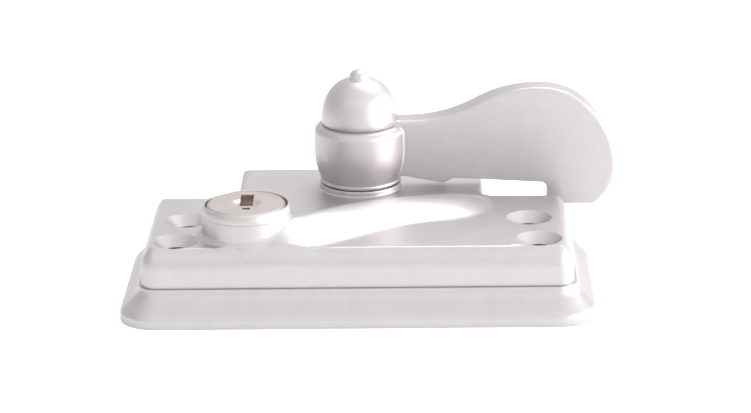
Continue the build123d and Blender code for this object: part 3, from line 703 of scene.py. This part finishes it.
seat = turned_strip(post_place, seat_profile, seat_steps, seat_loop)
sink_end = screw_hole - 0.01  # each cone ends a hair inside the wall of its hole
sink_parts = [
    turned_strip(place, [(sink_end, case_top - countersink + sink_end)], sink_steps, loop)
    for place, loop in zip(screw_places, sinks)
]
inner_line = corner_loop(case_corners, case_wall)


def is_case_room(points):
    """Whether points lie on the case's bottom, or inside its walls and not above its room."""
    at_bottom = points[:, 2] < case_low + inside_margin
    in_room = points[:, 2] < room_top + inside_margin
    return in_room & (is_inside(points[:, :2], inner_line) | at_bottom)


case_inside = cad_faces("lock_body", is_case_room)
cast_crease = 40.0
case_parts = [top_skin, wall, boss, seat, *sink_parts, case_inside]
case = cast_piece("case_casting", case_parts, cast_crease)
case.data.materials.append(casting)
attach(case, "case")
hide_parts("lock_body")

# Lever: one casting, a cup-shaped hub turned at its top and foot, and a flag-shaped blade whose
# hook reaches over the meeting rail. Its edges are rounded and it is plated satin.
hub_low, hub_top, hub_radius, lathe_steps = 14.30, 25.4, 8.5, 192
hub_widest = 0.55 * (hub_top - hub_low) + hub_low
hub_profile = np.vstack(
    [
        [(0.0, hub_low), (7.0, hub_low), (7.18, hub_low + 0.03)],
        rounded((7.24, hub_low + 0.07), (7.52, hub_low + 0.42), True, 5),
        rounded((7.52, hub_low + 0.46), (7.34, hub_low + 0.82), False, 5),
        bowed((7.36, hub_low + 0.88), (hub_radius, hub_widest), -0.26, 16)[:-1],
        bowed((hub_radius, hub_widest), (hub_radius - 0.02, hub_top - 2.1), -0.02, 6),
        rounded((hub_radius - 0.03, hub_top - 1.6), (6.95, hub_top), False, 14),
        [(6.8, hub_top), (0.0, hub_top)],
    ]
)
hub_skin = turned_strip(post_place, hub_profile, lathe_steps)


def tangent_arc(start, heading, end, steps=26):
    """Points of the circular arc that leaves start along heading and reaches end, and its
    heading there."""
    start, end, heading = (np.array(v, float) for v in (start, end, heading))
    heading /= np.hypot(*heading)
    chord = end - start
    square = np.array([-heading[1], heading[0]])
    offset = chord @ square
    if abs(offset) < 1e-6:
        return np.linspace(start, end, steps), heading
    radius = chord @ chord / (2 * offset)
    centre = start + square * radius
    sweep = 2 * np.arctan2(offset, chord @ heading)
    t = np.linspace(0, sweep, steps)[:, None]
    points = centre + radius * (heading * np.sin(t) - square * np.cos(t))
    return points, heading * cos(sweep) + square * sin(sweep)


# the blade's side view, along from the post and up from the hub's foot: five arcs, each one
# tangent to the one before, run over the top to the hook, and straight lines run back below
crown, crown_along, neck, root, relief = 18.1, 33.8, 12.0, 5.0, 1.0
reach_out, hook_drop, hook_start, hook_end, hook_corner = 47.2, 4.2, 34.65, 43.6, 0.8
heading, start = np.array([1.0, 0.0]), (1.05 * hub_radius, neck)
over = [np.array([(root, neck)])]
for point in (
    ((start[0] + crown_along) / 2, 0.48 * neck + 0.52 * crown),
    (crown_along, crown),
    (0.9 * reach_out, 0.79 * crown),
    (reach_out, 0.26 * crown),
    (hook_end, -hook_drop),
):
    arc, heading = tangent_arc(start, heading, point)
    over.append(arc[1:] if len(over) > 1 else arc)
    start = arc[-1]
over = np.vstack(over)
under = [
    (hook_start, -hook_drop),
    (hook_start, -hook_corner),
    (hook_start - hook_corner, 0.0),
    (0.37 * reach_out, relief),
    (0.325 * reach_out, 0.05 * relief),
    (hub_radius, 1.4 * relief),
    (root, 1.4 * relief),
]
upper_rim = np.vstack([over, over[::-1]])
blade_step, blade_pitch, blade_margin = 0.5, 0.7, 0.02
blade_line = divided(np.vstack([over, under])[::-1], blade_step)
blade_half, blade_edge, lower_edge = 2.6, 0.65, 0.12
flare, flare_reach, flare_end = 0.45, 0.93, 1.2
hub_radii = hub_profile[1:-1]


def blade_side(points):
    """Half thickness of the blade: rounded over the top, less so below, and flared in a circle
    where it meets the hub, whose radius changes with height. The flare ends at the rim."""
    x, z = points.T
    from_rim = distance_to(points, blade_line)
    side = blade_half - np.maximum(
        rolled_edge(distance_to(points, upper_rim), blade_edge), rolled_edge(from_rim, lower_edge)
    )
    hub_here = np.interp(z + hub_low, hub_radii[:, 1], hub_radii[:, 0])
    centre = np.sqrt((hub_here + flare) ** 2 - (blade_half + flare) ** 2)
    past = np.clip((centre - x) / flare, 0, flare_reach)
    return side + flare * (1 - np.sqrt(1 - past**2)) * np.clip(from_rim / flare_end, 0, 1)


def inner_line_of(loop, inset):
    """The loop moved in by the inset, each point square to the line between its neighbours.
    Points that end up nearer to the loop than that are left out."""
    tangent = np.roll(loop, -1, 0) - np.roll(loop, 1, 0)
    tangent /= np.hypot(*tangent.T)[:, None]
    moved = loop + np.column_stack([-tangent[:, 1], tangent[:, 0]]) * inset
    return moved[is_inside(moved, loop) & (distance_to(moved, loop) > inset * 0.97)]


rim_insets = [blade_edge * (1 - cos(t)) for t in np.linspace(0.25, pi / 2, 9)]
rim_insets += [0.04, lower_edge]
rim_points = [inner_line_of(blade_line, inset) for inset in rim_insets]
blade_net = square_net((5.2, 48), (-4.5, 18.5), blade_pitch, blade_pitch)
flare_net = square_net((7.4, 9.6), (1.6, 12), 0.1, 0.3)
spots = np.vstack([blade_net, flare_net, *rim_points])
spots = spots[is_inside(spots, blade_line) & (distance_to(spots, blade_line) > blade_margin)]
plan, faces = plan_net(blade_line, [], [], spots)


def stood_up(points, depth):
    """Points of the blade's side view, stood up through the post at a depth behind it."""
    return np.column_stack([points[:, 0] + post_x, post_y + depth, points[:, 1] + hub_low])


side, rim_half = blade_side(plan), blade_side(blade_line)
blade_front = (stood_up(plan, -side), faces)
blade_back = (stood_up(plan, side), faces[:, ::-1])
blade_rim = strips([stood_up(blade_line, -rim_half), stood_up(blade_line, rim_half)], True)
lever = cast_piece("lever_casting", [hub_skin, blade_front, blade_back, blade_rim], cast_crease)
lever.data.materials.append(casting)
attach(lever, "lever")
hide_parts("lever")

# Acorn cap: turned from brass bar and plated, a dome on a low upright rim with a nipple on top.
# It is screwed on the end of the spindle and turns with the lever.
cap_base, cap_high = hub_top + 0.02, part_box("acorn_cap")[1].z / mm
cap_radius, dome_rise, dome_power, rim_rise, nipple_root = 7.1, 8.2, 0.89, 0.55, 2.3
dome_turn = np.linspace(0, 1.42, 34)
dome = np.column_stack(
    [
        cap_radius * np.cos(dome_turn) ** dome_power,
        cap_base + rim_rise + dome_rise * np.sin(dome_turn) ** dome_power,
    ]
)
dome = dome[dome[:, 0] > nipple_root]
nipple_low = dome[-1, 1]
cap_profile = np.vstack(
    [
        [(0.0, cap_base), (6.4, cap_base)],
        bowed((6.9, cap_base + 0.02), (7.08, cap_base + 0.5), -0.04, 6),
        dome,
        bowed((2.22, nipple_low + 0.03), (1.82, nipple_low + 0.42), 0.09, 6),
        rounded((1.8, nipple_low + 0.5), (0.0, cap_high), False, 14),
    ]
)
acorn = cast_piece("acorn_dome", [turned_strip(post_place, cap_profile, lathe_steps)])
turned_grain, turned_bump = 4200.0, 0.002
turned_metal = satin_metal(
    "satin_turned",
    pale=(0.55, 0.518, 0.518),
    deep=(0.52, 0.488, 0.488),
    smooth=0.38,
    rough=0.43,
    grain=turned_grain,
    bump=turned_bump,
    metallic=0.8,
)
acorn.data.materials.append(turned_metal)
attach(acorn, "lever")
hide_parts("acorn_cap")

# Key plug's face: a turned brass disc, nickel plated, with a bevelled edge, a shallow dish round
# the keyway and the milled slot itself. It turns in the boss.
face_radius, face_bevel, face_thickness = 7.05, 0.35, 1.5
dish_out, dish_in, dish_depth, dish_power = 2.75, 1.5, 0.4, 1.4
keyway_sides, keyway_tail_sides = (-1.17, 1.17, -0.56, 4.72), (-0.51, 0.87, -3.75, -1.75)
keyway_corner, keyway_pitch, keyway_depth = 0.15, 0.25, 4.0


def face_height(points):
    """Height of the plug's face: level, bevelled at its rim, with a round dish whose wall is a
    power of a sine between its edge and its level bottom."""
    out = np.hypot(*points.T)
    bevel = np.clip(out - (face_radius - face_bevel), 0, face_bevel)
    across = np.clip((dish_out - out) / (dish_out - dish_in), 0, 1)
    return boss_top - bevel - dish_depth * np.sin(across * pi / 2) ** dish_power


def slot_loop(left, right, low, high):
    """Outline of a straight-sided opening with tiny corners, seen from above."""
    places = ((left, low), (right, low), (right, high), (left, high))
    return divided(corner_loop([(*place, keyway_corner, 1) for place in places]), keyway_pitch)


keyways = [slot_loop(*keyway_sides), slot_loop(*keyway_tail_sides)]
face_steps, face_centre = 144, (0, 0)
face_rim = ring(face_centre, face_radius, face_steps)
face_rings = [
    ring(face_centre, radius, face_steps) for radius in (face_radius - face_bevel, dish_out + 0.02)
]
dish_spots = [ring(face_centre, radius, 72) for radius in np.linspace(0.3, dish_out, 12)]
flat_spots = [ring(face_centre, radius, 96) for radius in np.linspace(3.0, 6.5, 6)]
plan, faces = plan_net(face_rim, keyways, face_rings, np.vstack(dish_spots + flat_spots))
face_top = (at_height(plan + key_place, face_height(plan)), faces)
face_low = boss_top - face_thickness
face_wall = upright_wall(face_rim + key_place, face_low, face_height(face_rim))
keyway_walls = [
    upright_wall(loop + key_place, face_height(loop), face_low - keyway_depth) for loop in keyways
]
plug_rest = cad_faces("cylinder_plug", lambda points: points[:, 2] < face_low + inside_margin)
plug_parts = [face_top, face_wall, *keyway_walls, plug_rest]
plug_face = cast_piece("plug_with_face", plug_parts, crease_angle=30.0)
plug_metal = satin_metal(
    "nickel_plug",
    pale=(0.55, 0.485, 0.47),
    deep=(0.515, 0.45, 0.435),
    smooth=0.33,
    rough=0.39,
    grain=turned_grain,
    bump=turned_bump,
    metallic=0.9,
)
plug_face.data.materials.append(plug_metal)
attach(plug_face, "plug")
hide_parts("cylinder_plug")

# Inside parts: brass sleeve, wafers and cam, steel stud, disc, arm and pins, a bronze bush and a
# plated sheet cover. They are turned, stamped or pressed, and only the cover shows from below.
brass = satin_metal("brass", (0.70, 0.50, 0.25), (0.62, 0.43, 0.2), 0.22, 0.34)
bronze = satin_metal("bronze", (0.62, 0.40, 0.24), (0.52, 0.33, 0.19), 0.3, 0.42)
steel = satin_metal("steel", (0.52, 0.52, 0.53), (0.43, 0.43, 0.45), 0.22, 0.36)
plated = satin_metal("zinc_plated_sheet", (0.60, 0.61, 0.62), (0.5, 0.51, 0.53), 0.25, 0.4)
finishes = {
    "cylinder_sleeve": brass,
    "wafer_1": brass,
    "wafer_2": brass,
    "wafer_3": brass,
    "wafer_4": brass,
    "wafer_spring": steel,
    "cam": brass,
    "pivot_bush": bronze,
    "thrust_washer": plated,
    "spindle": steel,
    "locking_disc": steel,
    "spring_washer": steel,
    "spindle_clip": steel,
    "locking_arm": steel,
    "arm_pivot_pin": steel,
    "cover_plate": plated,
    "cover_screws": plated,
}
for node, metal in finishes.items():
    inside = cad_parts[node]
    inside.data.materials.clear()
    inside.data.materials.append(metal)

bpy.context.view_layer.update()
